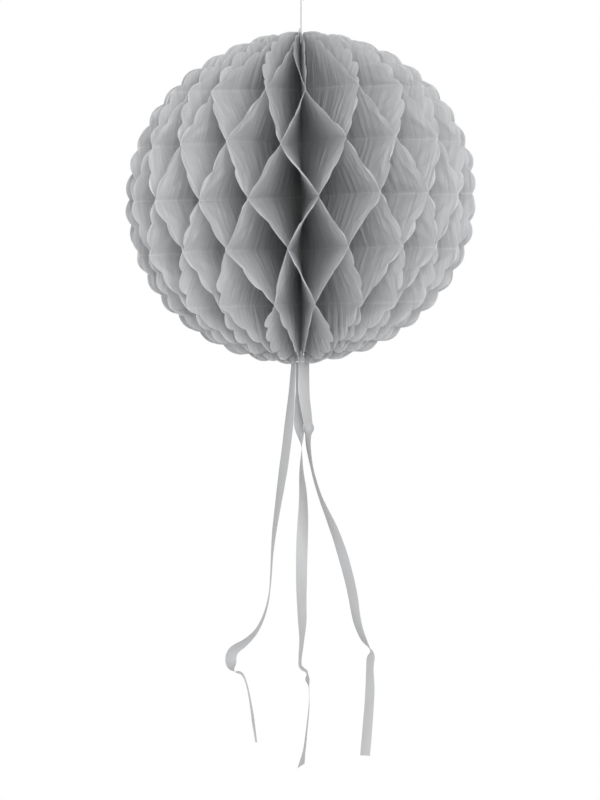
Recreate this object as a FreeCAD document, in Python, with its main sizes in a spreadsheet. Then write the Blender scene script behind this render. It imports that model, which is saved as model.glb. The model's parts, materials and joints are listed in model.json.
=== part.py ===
"""Paper honeycomb ball on a string, with three ribbons below it.

Frame: millimetres, +Z up, front towards -Y. The origin is the point where the
hanging loop rests on its hook. The ball's axis is the Z axis.

The ball is a fan of scalloped half-disc paper sheets about that axis. Each sheet
is glued to one neighbour along the even glue levels and to the other along the
odd ones, so between two levels it crosses from one joint line to the next.
"""

import FreeCAD, Part
import math
import os

Vector = FreeCAD.Vector
Z_AXIS = Vector(0, 0, 1)

# ---------------------------------------------------------------- dimensions

DIMENSIONS = {
    # the ball
    "notch_radius": 146.0,  # from the axis to a scallop's notch at the equator
    "notch_half_height": 137.5,  # from the centre to the notch at a pole
    "scallop_count": 20,  # scallops on one sheet, from pole to pole
    "scallop_rise": 4.4,  # how far a scallop stands out from its notches
    "sheet_count": 38,
    "fan_bias": 4.5,  # degrees by which the fan opens wider at the front and back
    "glue_pitch": 45.6,  # from one glue level to the next
    "paper_thick": 0.25,
    "paper_gap": 0.1,  # left for the glue between two joined sheets
    "centre_drop": 205.0,  # from the hook down to the ball's centre
    # the core
    "core_radius": 3.0,  # the sheets' inner edges
    "top_recess_radius": 5.4,  # the hollow round the axis at each pole
    "bottom_recess_radius": 10.0,
    "recess_depth": 12.0,
    "binding_thick": 1.2,  # the thread that binds the sheets' corners at a pole
    # the string
    "string_thick": 1.4,
    "loop_radius": 8.0,
    "loop_drop": 30.0,  # from the hook down to the loop's knot
    "knot_radius": 2.1,
    "ribbon_knot_radius": 3.0,
    "ribbon_knot_length": 10.0,  # of its straight part
    "ribbon_knot_drop": 137.0,  # from the ball's centre down to the ribbons' knot
    "running_gap": 0.05,  # left between string pieces that move on each other
    # the tape that closes the fan
    "tape_thick": 0.08,
    "tape_height": 5.0,
    "tape_start": 22.0,  # from the axis
    "tape_margin": 12.0,  # kept clear inside the notches
    # the ribbons
    "ribbon_width": 10.0,
    "ribbon_thick": 0.4,
}

doc = FreeCAD.newDocument("honeycomb_ball")
sheet = doc.addObject("Spreadsheet::Sheet", "dims")
for row, (alias, number) in enumerate(DIMENSIONS.items(), start=1):
    sheet.set(f"A{row}", alias)
    sheet.set(f"B{row}", str(number))
    sheet.setAlias(f"B{row}", alias)
doc.recompute()


def dim(alias):
    """The sheet's number for an alias."""
    return float(getattr(sheet, alias))


def bind(feature, **sizes):
    """Ties each of the feature's sizes to an expression on the sheet."""
    for name, expression in sizes.items():
        feature.setExpression(name, expression)
    return feature


def named(feature, node, place=None):
    """Gives a sub-part its label, which names its file, and its placement."""
    feature.Label = node
    if place is not None:
        feature.Placement = place
    parts.append(feature)
    return feature


def at(x=0.0, y=0.0, z=0.0, turn=0.0):
    """A placement at a point, turned about Z by degrees."""
    return FreeCAD.Placement(Vector(x, y, z), FreeCAD.Rotation(Z_AXIS, turn))


parts = []
SHEETS = int(dim("sheet_count"))
FIRST = -SHEETS // 2
CENTRE = -dim("centre_drop")
REACH = 1.08 * (dim("notch_radius") + dim("scallop_rise"))
LAST_LEVEL = math.ceil(dim("notch_half_height") / dim("glue_pitch"))
POLE = dim("notch_half_height") + dim("scallop_rise")


# ---------------------------------------------------------------- the paper ball


def joint_azimuth(j):
    """Degrees from the front to joint line j, which opens out at front and back."""
    even = (j - 0.5) * 360 / SHEETS
    return even + dim("fan_bias") * math.sin(math.radians(2 * even))


def make_die():
    """The solid that every sheet is cut by: scalloped outside, bored along its axis."""
    count, rise = int(dim("scallop_count")), dim("scallop_rise")
    notches = []
    for k in range(count + 1):
        up = math.radians(180 * k / count - 90)
        notches.append(
            Vector(dim("notch_radius") * math.cos(up), 0, dim("notch_half_height") * math.sin(up))
        )
    notches[0].x = notches[-1].x = 0
    edges = [Part.LineSegment(notches[-1], notches[0]).toShape()]
    for low, high in zip(notches, notches[1:]):
        along = high - low
        crown = (low + high) * 0.5 + Vector(along.z, 0, -along.x).normalize() * rise
        edges.append(Part.Arc(low, crown, high).toShape())
    outline = doc.addObject("Part::Feature", "scallop_outline")
    outline.Shape = Part.Face(Part.Wire(Part.sortEdges(edges)[0]))

    turned = doc.addObject("Part::Revolution", "scalloped_ball")
    turned.Source = outline
    turned.Axis = Z_AXIS
    turned.Angle = 360

    bore = bind(doc.addObject("Part::Cylinder", "axis_bore"), Radius="dims.core_radius")
    bind(bore, Height="2.2 * dims.notch_half_height")
    bind(bore, **{"Placement.Base.z": "-1.1 * dims.notch_half_height"})
    hollows = [bore]
    for side, name in ((1, "top_recess"), (-1, "bottom_recess")):
        floor = "(dims.notch_half_height + dims.scallop_rise - dims.recess_depth)"
        recess = doc.addObject("Part::Cylinder", name)
        bind(recess, Radius=f"dims.{name}_radius", Height="2 * dims.recess_depth")
        start = floor if side > 0 else f"-{floor} - 2 * dims.recess_depth"
        bind(recess, **{"Placement.Base.z": start})
        hollows.append(recess)
    hollow = doc.addObject("Part::MultiFuse", "pole_hollows")
    hollow.Shapes = hollows
    die = doc.addObject("Part::Cut", "sheet_die")
    die.Base = turned
    die.Tool = hollow
    return die


def sheet_section(index, level):
    """The sheet's straight cross-section at one glue level, beside its joint line."""
    near = (level % 2 == 1) == (index % 2 == 0)
    joint = index if near else index + 1
    inner = dim("paper_gap") / 2
    shift = inner if near else -inner - dim("paper_thick")
    turn = joint_azimuth(joint) - 90
    side = FreeCAD.Rotation(Z_AXIS, turn).multVec(Vector(0, shift, 0))
    section = doc.addObject("Part::Plane", f"section_{index - FIRST + 1}_{level + LAST_LEVEL}")
    bind(section, Width="dims.paper_thick")
    section.Length = REACH
    section.Placement = at(side.x, side.y, level * dim("glue_pitch"), turn)
    return section


def make_sheet(index, die):
    """One scalloped sheet: a folded strip through its glue lines, cut by the die."""
    number = index - FIRST + 1
    blank = doc.addObject("Part::Loft", f"blank_{number}")
    blank.Sections = [sheet_section(index, level) for level in range(-LAST_LEVEL, LAST_LEVEL + 1)]
    blank.Solid = True
    blank.Ruled = True
    cut = doc.addObject("Part::Common", f"cut_sheet_{number}")
    cut.Base = blank
    cut.Tool = die
    return named(cut, f"paper_sheet_{number:02d}", at(z=CENTRE))


def make_seam_tapes():
    """Strips of tape on the back joint line, where the last sheet meets the first."""
    joint = FIRST + SHEETS
    levels = [n for n in range(1 - LAST_LEVEL, LAST_LEVEL) if (n % 2 == 1) == (joint % 2 == 0)]
    turn = joint_azimuth(joint) - 90
    strips = []
    for level in levels:
        share = level * dim("glue_pitch") / dim("notch_half_height")
        edge = dim("notch_radius") * math.sqrt(1 - share**2)
        strip = doc.addObject("Part::Box", f"tape_{level + LAST_LEVEL}")
        bind(strip, Width="dims.tape_thick", Height="dims.tape_height")
        strip.Length = edge - dim("tape_margin") - dim("tape_start")
        corner = Vector(dim("tape_start"), -dim("tape_thick") / 2, 0)
        corner = FreeCAD.Rotation(Z_AXIS, turn).multVec(corner)
        low = level * dim("glue_pitch") - dim("tape_height") / 2
        strip.Placement = at(corner.x, corner.y, low, turn)
        strips.append(strip)
    tapes = doc.addObject("Part::Compound", "tapes")
    tapes.Links = strips
    return named(tapes, "seam_tapes", at(z=CENTRE))


# ---------------------------------------------------------------- the string


def make_knot(node, radius, height):
    """A pulled-tight knot, as the ball that it fills."""
    knot = bind(doc.addObject("Part::Sphere", node), Radius=radius)
    return named(knot, node, at(z=height))


def make_ribbon_knot(height):
    """The ribbons' gathered ends, whipped with string: a round bar that they swing on."""
    length = dim("ribbon_knot_length")
    bar = doc.addObject("Part::Cylinder", "ribbon_knot_bar")
    bind(bar, Radius="dims.ribbon_knot_radius", Height="dims.ribbon_knot_length")
    bar.Placement = FreeCAD.Placement(Vector(-length / 2, 0, 0), FreeCAD.Rotation(Vector(0, 1, 0), 90))
    pieces = [bar]
    for side in (-1, 1):
        end = doc.addObject("Part::Sphere", f"ribbon_knot_end_{side + 2}")
        bind(end, Radius="dims.ribbon_knot_radius")
        end.Placement = at(x=side * length / 2)
        pieces.append(end)
    knot = doc.addObject("Part::MultiFuse", "ribbon_knot")
    knot.Shapes = pieces
    return named(knot, "ribbon_knot", at(z=height))


def make_straight_string(node, low, high):
    """A tight run of string along the axis, between two heights."""
    run = doc.addObject("Part::Cylinder", node)
    bind(run, Radius="dims.string_thick / 2")
    run.Height = high - low
    return named(run, node, at(z=low))


def make_loop():
    """The hanging loop: two straight strands up from the knot, and round the hook."""
    radius, drop = dim("loop_radius"), dim("loop_drop")
    middle = dim("string_thick") / 2 - radius
    span = middle + drop
    lean = math.asin(radius / span)
    reach = math.sqrt(span**2 - radius**2)
    start = dim("knot_radius") + dim("running_gap")

    def strand(side, distance):
        return Vector(side * distance * math.sin(lean), 0, distance * math.cos(lean) - drop)

    crown = Vector(0, 0, middle + radius)
    edges = [
        Part.LineSegment(strand(-1, start), strand(-1, reach)).toShape(),
        Part.Arc(strand(-1, reach), crown, strand(1, reach)).toShape(),
        Part.LineSegment(strand(1, reach), strand(1, start)).toShape(),
    ]
    path = doc.addObject("Part::Feature", "loop_path")
    path.Shape = Part.Wire(edges)
    ring = bind(doc.addObject("Part::Circle", "loop_section"), Radius="dims.string_thick / 2")
    along = strand(-1, reach) - strand(-1, start)
    ring.Placement = FreeCAD.Placement(strand(-1, start), FreeCAD.Rotation(Z_AXIS, along))
    sweep = doc.addObject("Part::Sweep", "loop_sweep")
    sweep.Sections = [ring]
    sweep.Spine = path
    sweep.Solid = True
    sweep.Frenet = False
    return named(sweep, "hanging_loop", at())


def make_binding(node, side):
    """A ring of thread on the recess's floor, through every sheet's corner."""
    ring = doc.addObject("Part::Torus", node)
    bind(ring, Radius1="dims.core_radius + dims.binding_thick", Radius2="dims.binding_thick / 2")
    lift = POLE - dim("recess_depth") + dim("binding_thick") / 2 + dim("running_gap")
    return named(ring, node, at(z=CENTRE + side * lift))


# ---------------------------------------------------------------- the ribbons

# Each point is x, y and z from the ball's centre, and the ribbon's turn about its own
# length in degrees: at 0 its face is to the front, and at 90 its edge is.
RIBBON_ROUTES = {
    "ribbon_left": [
        (-6.6, 0.0, -140.2, 77),
        (-8.0, 1.5, -166.0, 60),
        (-10.9, 4.0, -194.7, 40),
        (-14.5, 2.5, -228.8, 31),
        (-20.2, -1.0, -266.3, 59),
        (-24.4, -3.0, -296.1, 76),
        (-26.1, -2.0, -333.6, 86),
        (-31.0, 2.0, -358.0, 90),
        (-42.3, 4.0, -378.7, 90),
        (-58.5, 2.0, -387.5, 90),
        (-60.0, -1.0, -400.5, 90),
        (-48.6, -3.0, -408.0, 90),
        (-43.4, -2.0, -427.0, 90),
        (-39.4, 0.0, -449.0, 86),
        (-37.9, 1.0, -465.0, 82),
    ],
    "ribbon_middle": [
        (-3.5, 0.5, -140.2, 77),
        (-3.9, 2.0, -166.0, 82),
        (-2.9, 3.0, -180.0, 62),
        (-2.0, 4.0, -193.8, 38),
        (0.6, 2.5, -214.0, 90),
        (0.8, 0.0, -234.0, 112),
        (2.3, -2.0, -257.0, 138),
        (0.7, -3.0, -295.2, 178),
        (0.2, -1.0, -336.0, 208),
        (1.2, 3.0, -367.0, 232),
        (-1.6, 5.0, -397.5, 262),
        (4.9, 1.0, -406.0, 268),
        (6.6, -1.0, -429.0, 270),
        (5.6, 1.0, -452.5, 270),
        (3.2, 2.0, -470.5, 285),
        (-1.4, 3.0, -487.5, 305),
    ],
    "ribbon_right": [
        (3.1, -0.5, -140.2, 30),
        (2.8, -2.5, -166.0, 26),
        (4.9, -3.5, -180.0, 34),
        (7.1, -4.5, -193.8, 44),
        (7.4, -3.0, -214.0, 66),
        (10.6, -1.0, -236.5, 80),
        (16.6, 1.0, -257.5, 100),
        (28.0, 3.0, -281.6, 128),
        (37.0, 3.0, -308.6, 150),
        (44.2, 0.0, -337.6, 145),
        (47.6, -3.0, -364.0, 128),
        (59.4, -3.0, -384.5, 90),
        (58.6, -1.0, -413.0, 42),
        (57.0, 1.0, -442.0, 36),
        (54.6, 0.0, -475.2, 32),
    ],
}
BEND_SHARE = 0.45  # of the shorter run beside a corner, which its arc may take up
ARC_STEPS = 4
RUN_STEP = 14.0  # the longest stretch of a ribbon between two cross-sections


def rounded_route(points):
    """Edges of straight runs joined by tangent arcs, with the arcs' radii."""
    edges, radii = [], []
    start = points[0]
    for before, corner, after in zip(points, points[1:], points[2:]):
        back, ahead = before - corner, after - corner
        short = BEND_SHARE * min(back.Length, ahead.Length)
        half_turn = (math.pi - back.getAngle(ahead)) / 2
        radius = short / math.tan(half_turn)
        into, out = corner + back.normalize() * short, corner + ahead.normalize() * short
        inward = (back + ahead).normalize()
        middle = corner + inward * (math.hypot(radius, short) - radius)
        edges.append(Part.LineSegment(start, into).toShape())
        edges.append(Part.Arc(into, middle, out).toShape())
        radii.append(radius)
        start = out
    edges.append(Part.LineSegment(start, points[-1]).toShape())
    return edges, radii


def ribbon_turns(points, turns, spot):
    """The ribbon's turn at a spot, in proportion between the two points beside it."""
    best = min(range(len(points) - 1), key=lambda k: off_run(points[k], points[k + 1], spot)[0])
    share = off_run(points[best], points[best + 1], spot)[1]
    return turns[best] + share * (turns[best + 1] - turns[best])


def off_run(start, end, spot):
    """How far a spot is from a straight run, and its share of the way along it."""
    run = end - start
    share = max(0.0, min(1.0, (spot - start).dot(run) / run.dot(run)))
    return (spot - start - run * share).Length, share


def ribbon_section(spot, along, turn):
    """The ribbon's flat cross-section at a spot of its route."""
    face = math.radians(turn)
    across = Vector(math.cos(face), math.sin(face), 0)
    across = (across - along * across.dot(along)).normalize() * (dim("ribbon_width") / 2)
    through = along.cross(across).normalize() * (dim("ribbon_thick") / 2)
    corners = [spot + across + through, spot - across + through]
    corners += [spot - across - through, spot + across - through]
    return Part.makePolygon([*corners, corners[0]])


def make_ribbon(node, route):
    """A flat strip along a rounded route, turning about its own length."""
    points = [Vector(*row[:3]) for row in route]
    turns = [row[3] for row in route]
    edges, radii = rounded_route(points)
    sections = []
    for edge in edges:
        steps = ARC_STEPS
        if edge.Curve.TypeId == "Part::GeomLine":
            steps = max(1, math.ceil(edge.Length / RUN_STEP))
        first, last = edge.ParameterRange
        for k in range(steps):
            value = first + (last - first) * k / steps
            spot, along = edge.valueAt(value), edge.tangentAt(value)
            sections.append(ribbon_section(spot, along, ribbon_turns(points, turns, spot)))
    end, along = edges[-1].valueAt(last), edges[-1].tangentAt(last)
    sections.append(ribbon_section(end, along, turns[-1]))
    ribbon = doc.addObject("Part::Feature", node)
    ribbon.Shape = Part.makeLoft(sections, True, True)
    length = sum(edge.Length for edge in edges)
    flat = length * dim("ribbon_width") * dim("ribbon_thick")
    print(f"{node}: {length:.0f} mm long, {ribbon.Shape.Volume / flat:.3f} of its flat volume")
    print("  radii of its bends:", ", ".join(f"{radius:.0f}" for radius in radii))
    return named(ribbon, node, at(z=CENTRE))


# ---------------------------------------------------------------- the object

die = make_die()
for index in range(FIRST, FIRST + SHEETS):
    make_sheet(index, die)
make_seam_tapes()

knot, gap = dim("knot_radius"), dim("running_gap")
top_knot_height = CENTRE + POLE - dim("recess_depth") + knot + 2 * gap
ribbon_knot_height = CENTRE - dim("ribbon_knot_drop")
make_loop()
make_knot("loop_knot", "dims.knot_radius", -dim("loop_drop"))
make_straight_string("hanging_string", top_knot_height + knot + gap, -dim("loop_drop") - knot - gap)
make_knot("top_knot", "dims.knot_radius", top_knot_height)
make_straight_string(
    "core_string", ribbon_knot_height + dim("ribbon_knot_radius"), top_knot_height - knot
)
make_ribbon_knot(ribbon_knot_height)
make_binding("top_binding", 1)
make_binding("bottom_binding", -1)
for node, route in RIBBON_ROUTES.items():
    make_ribbon(node, route)

doc.recompute()
for feature in doc.Objects:
    if {"Invalid", "Error"} & set(feature.State):
        raise RuntimeError(f"{feature.Name} failed: {feature.State}")
for part in parts:
    shape = part.Shape
    if shape.isNull() or not shape.isValid() or not shape.Solids or shape.Volume <= 0:
        raise RuntimeError(f"{part.Label} isn't a valid solid")
os.makedirs("parts", exist_ok=True)
for part in parts:
    part.Shape.exportStep(f"parts/{part.Label}.step")
print(f"{len(parts)} sub-parts written")
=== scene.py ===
"""The looks of a hanging paper honeycomb ball: tissue sheets, string and ribbons."""

import json
import math

import bpy
import numpy as np
from bpy.props import FloatProperty, FloatVectorProperty, IntProperty, PointerProperty
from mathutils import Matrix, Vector


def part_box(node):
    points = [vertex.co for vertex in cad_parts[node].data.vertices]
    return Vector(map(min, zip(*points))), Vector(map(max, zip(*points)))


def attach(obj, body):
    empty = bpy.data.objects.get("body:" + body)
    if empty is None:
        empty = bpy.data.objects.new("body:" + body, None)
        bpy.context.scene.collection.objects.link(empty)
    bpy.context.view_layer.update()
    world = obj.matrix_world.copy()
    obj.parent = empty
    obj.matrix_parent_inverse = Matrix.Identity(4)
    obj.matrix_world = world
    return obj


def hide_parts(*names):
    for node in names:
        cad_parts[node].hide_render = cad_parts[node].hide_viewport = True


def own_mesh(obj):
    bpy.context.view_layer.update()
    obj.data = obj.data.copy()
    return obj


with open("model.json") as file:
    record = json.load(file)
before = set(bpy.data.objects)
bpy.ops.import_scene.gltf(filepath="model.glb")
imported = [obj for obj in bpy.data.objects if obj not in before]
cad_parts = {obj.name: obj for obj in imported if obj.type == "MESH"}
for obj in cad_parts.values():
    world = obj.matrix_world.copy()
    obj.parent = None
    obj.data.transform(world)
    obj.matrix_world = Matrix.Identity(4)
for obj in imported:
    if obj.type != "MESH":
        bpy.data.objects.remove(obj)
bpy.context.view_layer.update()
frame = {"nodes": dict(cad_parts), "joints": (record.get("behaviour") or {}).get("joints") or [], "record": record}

bl_info = {
    "name": "Paper Honeycomb Ball",
    "version": (1, 0, 0),
    "blender": (4, 5, 0),
    "location": "View3D > Sidebar > Honeycomb",
    "description": "Makes a scalloped tissue honeycomb ball with its string and ribbons",
    "category": "Add Mesh",
}

# ------------------------------------------------------------ places from the frame

SHEET_NAMES = sorted(name for name in frame["nodes"] if name.startswith("paper_sheet_"))
BODY_OF = {
    node: body
    for body, nodes in frame["record"]["behaviour"]["bodies"].items()
    for node in nodes
}


def joint(name):
    """The record's joint of that name."""
    return next(j for j in frame["joints"] if j["name"] == name)


def middle(node):
    """The centre of a node's box."""
    low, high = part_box(node)
    return np.array((low + high) / 2)


def from_ball(node):
    """A node's CAD points, from the ball's centre."""
    mesh = frame["nodes"][node].data
    points = np.zeros(len(mesh.vertices) * 3, np.float32)
    mesh.vertices.foreach_get("co", points)
    return points.reshape(-1, 3) - BALL


def fit(piece, node, material):
    """Puts a piece in its CAD node's place, with its material and its body."""
    piece.data.materials.append(material)
    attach(piece, BODY_OF[node])
    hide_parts(node)


BALL = np.array(joint("fold")["pos_m"], float)


# ------------------------------------------------------------ settings


def metres(name, description, default):
    """A length that a user may change."""
    return FloatProperty(name=name, description=description, default=default, unit="LENGTH")


def colour_of(name, description, default):
    """A colour that a user may change."""
    return FloatVectorProperty(
        name=name, description=description, default=default, subtype="COLOR"
    )


class PaperSettings(bpy.types.PropertyGroup):
    """The tissue sheets."""

    notch_radius: metres("Notch radius", "From the axis to a scallop's notch at the equator", 0.1462)
    notch_half_height: metres("Notch half height", "From the centre to the notch at a pole", 0.1377)
    scallops: IntProperty(
        name="Scallops", description="Scallops on one sheet, pole to pole", default=20
    )
    scallop_rise: metres("Scallop rise", "How far a scallop stands out from its notches", 0.0044)
    glue_pitch: metres("Glue pitch", "Height between two glue levels", 0.0456)
    glue_width: metres("Glue width", "Width of a glue line", 0.0016)
    thickness: metres("Thickness", "Thickness of the tissue", 0.00012)
    inner_radius: metres("Inner radius", "From the axis to the sheets' inner edges", 0.0012)
    top_recess_radius: metres("Top recess radius", "Radius of the hollow at the top", 0.0054)
    bottom_recess_radius: metres("Bottom recess radius", "Radius of the hollow at the bottom", 0.0100)
    recess_floor: metres("Recess floor", "Height of the hollow's floor from the ball's centre", 0.1300)
    pleat_depth: metres("Pleat depth", "Depth of the pleats that fan out from each joint", 0.0012)
    wrinkle_depth: metres("Wrinkle depth", "Depth of the fine upright wrinkles", 0.0005)
    edge_curl: metres("Edge curl", "How far the scallops curl out of their sheet", 0.0007)
    sway: metres("Sway", "Slow waviness of a sheet between its glue lines", 0.0010)
    colour: colour_of("Paper colour", "Colour of the tissue", (0.69, 0.697, 0.706))
    # The paper's paler cut edge colour is a painted highlight: the scallops' lit rim.
    edge_colour_and_highlight: colour_of("Cut edge colour", "Colour of the paler cut edge", (0.76, 0.765, 0.77))
    glue_colour: colour_of("Glue line colour", "Colour that a glue line goes towards", (0.84, 0.845, 0.85))


class StringSettings(bpy.types.PropertyGroup):
    """The string, its knots and the binding thread."""

    thickness: metres("Thickness", "Thickness of the string", 0.0014)
    lay_length: metres("Lay length", "Length in which a strand goes once round", 0.0042)
    colour: colour_of("String colour", "Colour of the string", (0.50, 0.50, 0.50))
    thread_colour: colour_of("Thread colour", "Colour of the binding thread", (0.50, 0.50, 0.49))
    tape_colour: colour_of("Tape colour", "Colour of the tape in the seam", (0.70, 0.69, 0.63))


class RibbonSettings(bpy.types.PropertyGroup):
    """The three ribbons."""

    width: metres("Width", "Width of a ribbon", 0.0100)
    thickness: metres("Thickness", "Thickness of a ribbon", 0.00016)
    colour: colour_of("Ribbon colour", "Colour of the ribbon", (0.352, 0.355, 0.361))
    edge_colour_and_highlight: colour_of("Edge colour", "Colour of the ribbon's firm edges", (0.50, 0.503, 0.505))


class StudioSettings(bpy.types.PropertyGroup):
    """The camera, the floor and the light."""

    frame_height: metres("Frame height", "Height that the camera sees at the ball's axis", 0.6816)
    distance: metres("Distance", "From the camera to the axis", 7.0)
    below: metres("Below", "How far the camera is below the ball's centre", 0.1725)
    aside: metres("Aside", "How far the camera is to the left of the axis", 0.0009)
    floor_drop: metres("Floor drop", "From the hook down to the floor", 1.05)
    light_place: FloatVectorProperty(
        name="Light place",
        description="Place of the soft light, from the hook",
        default=(0.45, -3.2, 0.45),
        unit="LENGTH",
    )
    light_size: metres("Light size", "Side of the soft light", 1.8)
    light_power: FloatProperty(
        name="Light power", description="Power of the soft light", default=78.0, unit="POWER"
    )


SETTINGS = {
    "paper": PaperSettings,
    "string": StringSettings,
    "ribbon": RibbonSettings,
    "studio": StudioSettings,
}


def settings(group):
    """The scene's settings of one group."""
    return getattr(bpy.context.scene, f"honeycomb_{group}")


# ------------------------------------------------------------ meshes


def grid_quads(rows, columns, round_columns=False):
    """Corner numbers of a grid's cells, and round its seam if its columns close."""
    row = np.arange(rows - 1)[:, None]
    column = np.arange(columns if round_columns else columns - 1)[None, :]
    after = (column + 1) % columns
    corners = [row * columns + column, row * columns + after]
    corners += [(row + 1) * columns + after, (row + 1) * columns + column]
    return np.stack(corners, axis=-1).reshape(-1, 4)


def make_object(name, points, quads, uv, tones=None, sharp=None):
    """A mesh object of points and four-cornered faces, with a UV and point values."""
    mesh = bpy.data.meshes.new(name)
    mesh.vertices.add(len(points))
    mesh.vertices.foreach_set("co", np.ascontiguousarray(points, np.float32).ravel())
    mesh.loops.add(quads.size)
    mesh.loops.foreach_set("vertex_index", quads.astype(np.int32).ravel())
    mesh.polygons.add(len(quads))
    mesh.polygons.foreach_set("loop_start", np.arange(0, quads.size, 4, dtype=np.int32))
    mesh.update(calc_edges=True)
    layer = mesh.uv_layers.new(name="UVMap")
    layer.data.foreach_set("uv", uv[quads.ravel()].astype(np.float32).ravel())
    for label, values in (tones or {}).items():
        attribute = mesh.attributes.new(label, "FLOAT", "POINT")
        attribute.data.foreach_set("value", np.ascontiguousarray(values, np.float32).ravel())
    mesh.polygons.foreach_set("use_smooth", np.ones(len(quads), bool))
    if sharp is not None:
        ends = np.zeros(len(mesh.edges) * 2, np.int32)
        mesh.edges.foreach_get("vertices", ends)
        marked = sharp[ends.reshape(-1, 2)].all(axis=1)
        mesh.edges.foreach_set("use_edge_sharp", marked)
    made = bpy.data.objects.new(name, mesh)
    bpy.context.scene.collection.objects.link(made)
    return made


def thin_solid(name, front, back, uv, tones):
    """A closed thin sheet: two grids of points, back to back, and a rim between them.

    Seen from the front grid's side, its columns run to the right and its rows up.
    """
    rows, columns = front.shape[:2]
    count = rows * columns
    number = np.arange(count).reshape(rows, columns)
    faces = grid_quads(rows, columns)
    border = [number[0, :], number[1:, -1], number[-1, -2::-1], number[-2:0:-1, 0]]
    ring = np.concatenate(border)
    after = np.roll(ring, -1)
    rim = np.stack([after, ring, ring + count, after + count], axis=1)
    quads = np.concatenate([faces, faces[:, ::-1] + count, rim])
    points = np.concatenate([front.reshape(-1, 3), back.reshape(-1, 3)])
    sharp = np.zeros(count * 2, bool)
    sharp[ring] = sharp[ring + count] = True
    doubled = {label: np.tile(values.ravel(), 2) for label, values in tones.items()}
    return make_object(name, points, quads, np.tile(uv.reshape(-1, 2), (2, 1)), doubled, sharp)


def along_line(line):
    """The length up to each point of a line."""
    steps = np.linalg.norm(np.diff(line, axis=0), axis=1)
    return np.concatenate([[0.0], np.cumsum(steps)])


def read_along(values, length, at):
    """Vectors known at the lengths of a line's points, read at other lengths."""
    return np.stack([np.interp(at, length, values[:, k]) for k in range(3)], axis=-1)


def spaced(line, count):
    """A line's own shape as evenly spaced points."""
    length = along_line(line)
    return read_along(line, length, np.linspace(0, length[-1], count))


def directions(line):
    """Unit tangents of a line at its points."""
    steps = np.gradient(line, axis=0)
    return steps / np.linalg.norm(steps, axis=1, keepdims=True)


def side_vectors(along, start):
    """Two unit vectors across a line at each point, carried along with no twist."""
    side = np.array(start, float)
    first = []
    for direction in along:
        side = side - direction * (side @ direction)
        side = side / np.linalg.norm(side)
        first.append(side)
    first = np.array(first)
    return first, np.cross(along, first)


def tube(line, radius, sides):
    """Points, faces and UV of a round tube: a circle carried along a line.

    Rings that shrink to the line close its ends.
    """
    first, second = side_vectors(directions(line), (1.0, 0.3, 0.2))
    angle = np.linspace(0, 2 * math.pi, sides, endpoint=False)
    across = first[:, None] * np.cos(angle)[None, :, None]
    across = across + second[:, None] * np.sin(angle)[None, :, None]
    size = np.full(len(line), radius)
    line = np.concatenate([line[:1], line, line[-1:]])
    across = np.concatenate([across[:1], across, across[-1:]])
    size = np.concatenate([[radius * 0.02], size, [radius * 0.02]])
    points = line[:, None] + across * size[:, None, None]
    rows = len(points)
    reach = np.linspace(0, 1, rows)[:, None] * np.ones(sides)[None, :]
    turn = np.ones(rows)[:, None] * (angle / (2 * math.pi))[None, :]
    uv = np.stack([turn, reach], axis=-1).reshape(-1, 2)
    return points.reshape(-1, 3), grid_quads(rows, sides, round_columns=True), uv


def join_tubes(name, tubes):
    """One object of several tubes."""
    points, quads, uv, count = [], [], [], 0
    for tube_points, tube_quads, tube_uv in tubes:
        points.append(tube_points)
        quads.append(tube_quads + count)
        uv.append(tube_uv)
        count += len(tube_points)
    return make_object(name, np.concatenate(points), np.concatenate(quads), np.concatenate(uv))


def spline_points(route):
    """Points of the smooth curve that a route controls, read from a NURBS spline."""
    curve = bpy.data.curves.new("route", "CURVE")
    curve.dimensions = "3D"
    curve.resolution_u = 24
    spline = curve.splines.new("NURBS")
    spline.points.add(len(route) - 1)
    for point, place in zip(spline.points, route):
        point.co = (*place, 1.0)
    spline.order_u = 3
    spline.use_endpoint_u = True
    holder = bpy.data.objects.new("route", curve)
    mesh = bpy.data.meshes.new_from_object(holder)
    line = np.array([v.co for v in mesh.vertices], float).reshape(-1, 3)
    bpy.data.meshes.remove(mesh)
    bpy.data.objects.remove(holder)
    bpy.data.curves.remove(curve)
    return line


def string_tubes(line, thick, strands=3):
    """Tubes of a laid string: strands that wind round a line."""
    lay = settings("string").lay_length
    length = along_line(line)[-1]
    steps = max(24, math.ceil(length / lay * 10))
    line = spaced(line, steps)
    along = directions(line)
    first, second = side_vectors(along, (0.9, 0.3, 0.2))
    wound = along_line(line) / lay * 2 * math.pi
    tubes = []
    for k in range(strands):
        turn = wound + 2 * math.pi * k / strands
        offset = first * np.cos(turn)[:, None] + second * np.sin(turn)[:, None]
        tubes.append(tube(line + offset * thick * 0.25, thick * 0.25, 7))
    return tubes


# ------------------------------------------------------------ materials


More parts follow.
